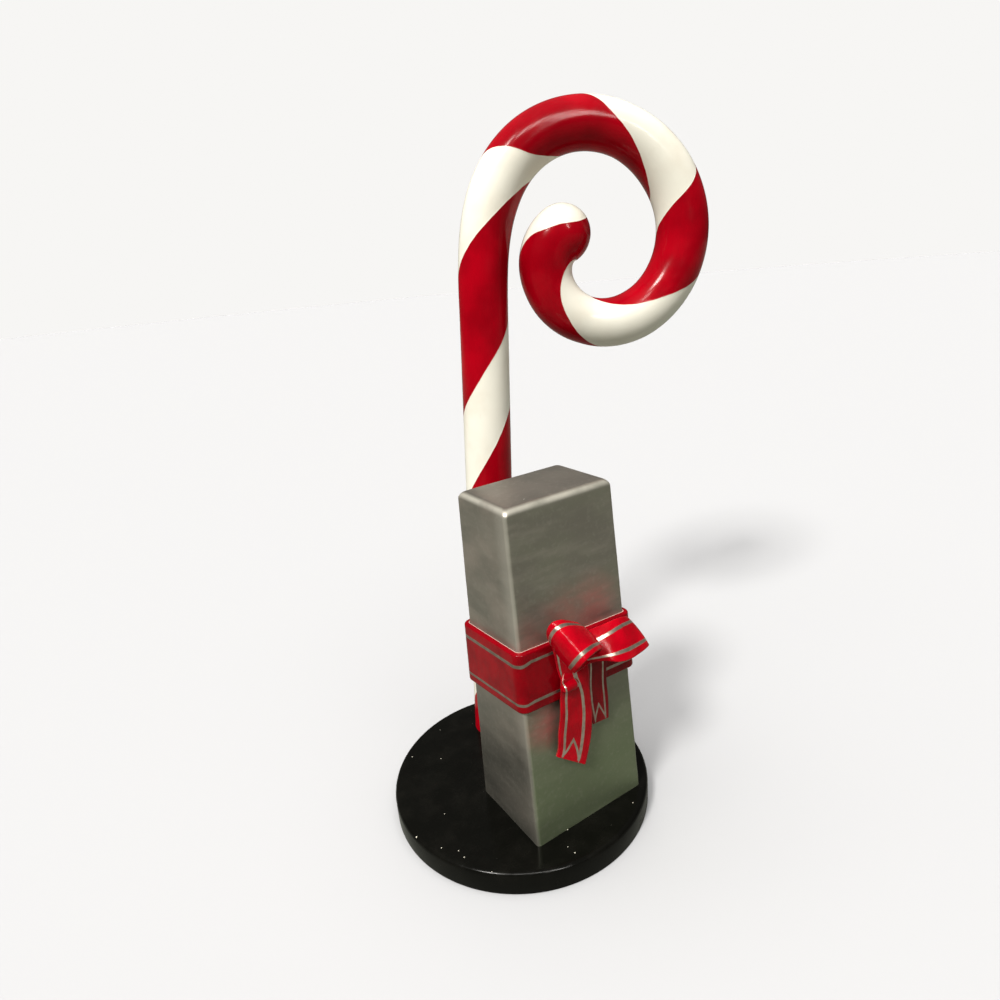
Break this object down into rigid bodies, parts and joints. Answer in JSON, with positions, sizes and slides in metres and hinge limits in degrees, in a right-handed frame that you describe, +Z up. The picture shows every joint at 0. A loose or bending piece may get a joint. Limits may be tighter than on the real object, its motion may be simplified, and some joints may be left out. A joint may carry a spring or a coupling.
{
  "type": "candy cane display figure",
  "caption": "Standing figure: a striped cane whose top curls into a spiral, behind a tall gift box with a ribbon band and bow, both fixed on a round base",
  "frame": {"origin": "centre of the round base's underside", "axes": "+Z up; -Y is the way the gift box's front face with the bow looks; +X to that face's right, the side the cane curls towards"},
  "size_m": [1.0976, 0.7082, 1.7925],
  "materials": {
    "base_black": "gloss black paint over resin",
    "box_silver": "satin silver paint, brushed on by hand",
    "band_red": "gloss red paint with two fine silver lines",
    "bow_red": "gloss red paint with fine silver lines along each edge",
    "cane_gloss": "gloss paint, one red and one cream stripe winding up the tube"
  },
  "bodies": {
    "root": {"base_disc": "base_black", "gift_box": "box_silver", "ribbon_band": "band_red", "bow": "bow_red", "candy_cane": "cane_gloss"}
  },
  "joints": []
}
